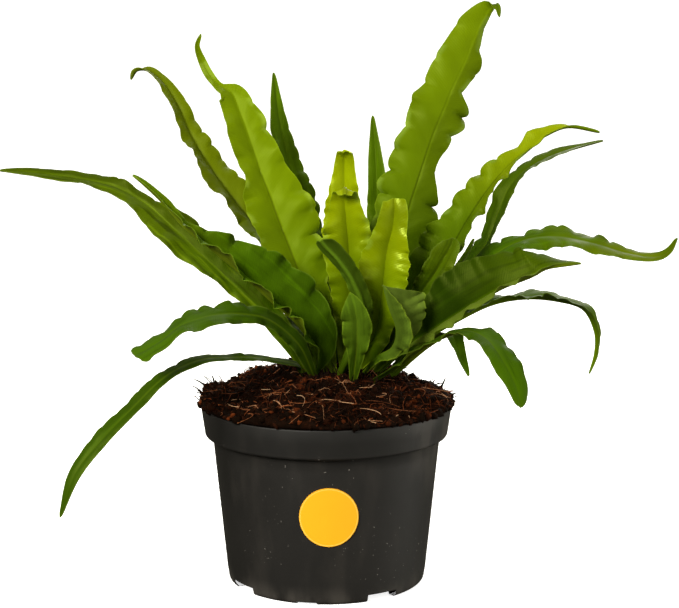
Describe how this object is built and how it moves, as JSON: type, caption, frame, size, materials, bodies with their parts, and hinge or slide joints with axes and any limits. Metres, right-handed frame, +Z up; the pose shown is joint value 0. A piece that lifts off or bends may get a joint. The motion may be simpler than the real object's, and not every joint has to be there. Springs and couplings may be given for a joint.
{
  "type": "potted birds nest fern",
  "caption": "Rosette of wavy strap-shaped fern fronds rising from a short crown in a soil mound, in a round black nursery pot with a collar and a round bare label.",
  "frame": {"origin": "middle of the circle that the pot's foot stands on", "axes": "+Z up, -Y towards the front with the label, +X to the right seen from the front"},
  "size_m": [0.4102, 0.229, 0.346],
  "materials": {
    "pot_plastic": "satin black moulded plastic, slightly dusty",
    "label_paper": "coated golden yellow paper, bare",
    "peat": "loose dark red-brown peat and coir, matte",
    "crown_scales": "dark brown papery scales",
    "leaf_young": "young frond, bright yellow-green, semi-gloss",
    "leaf_mid": "half-grown frond, fresh green, semi-gloss",
    "leaf_mature": "mature frond, mid green, semi-gloss",
    "leaf_dark": "old frond, dark green, semi-gloss"
  },
  "bodies": {
    "root": {"pot": "pot_plastic", "label": "label_paper", "soil": "peat", "crown": "crown_scales", "frond_left_long": "leaf_mature", "frond_left_upper": "leaf_mature", "frond_left_curl": "leaf_mid", "frond_left_bright": "leaf_mid", "frond_back_left_dark": "leaf_dark", "frond_young_back": "leaf_young", "frond_young_middle": "leaf_young", "frond_young_front": "leaf_young", "frond_back_centre_dark": "leaf_dark", "frond_tall_right": "leaf_mid", "frond_right_bright": "leaf_mid", "frond_right_arch": "leaf_mature", "frond_right_long": "leaf_mature", "frond_right_broad": "leaf_mature", "frond_right_droop_far": "leaf_mature", "frond_right_droop_near": "leaf_mature", "frond_right_small_hang": "leaf_mature", "frond_front_right_curl": "leaf_mature", "frond_front_centre": "leaf_mature", "frond_front_dark_fold": "leaf_dark", "frond_left_low_curl": "leaf_mature", "frond_left_bottom": "leaf_mature", "frond_back_right_dark": "leaf_dark", "frond_right_inner_small": "leaf_mature", "frond_back_arch_left": "leaf_mature", "frond_back_arch_middle": "leaf_mature", "frond_back_arch_right": "leaf_mature"}
  },
  "joints": []
}
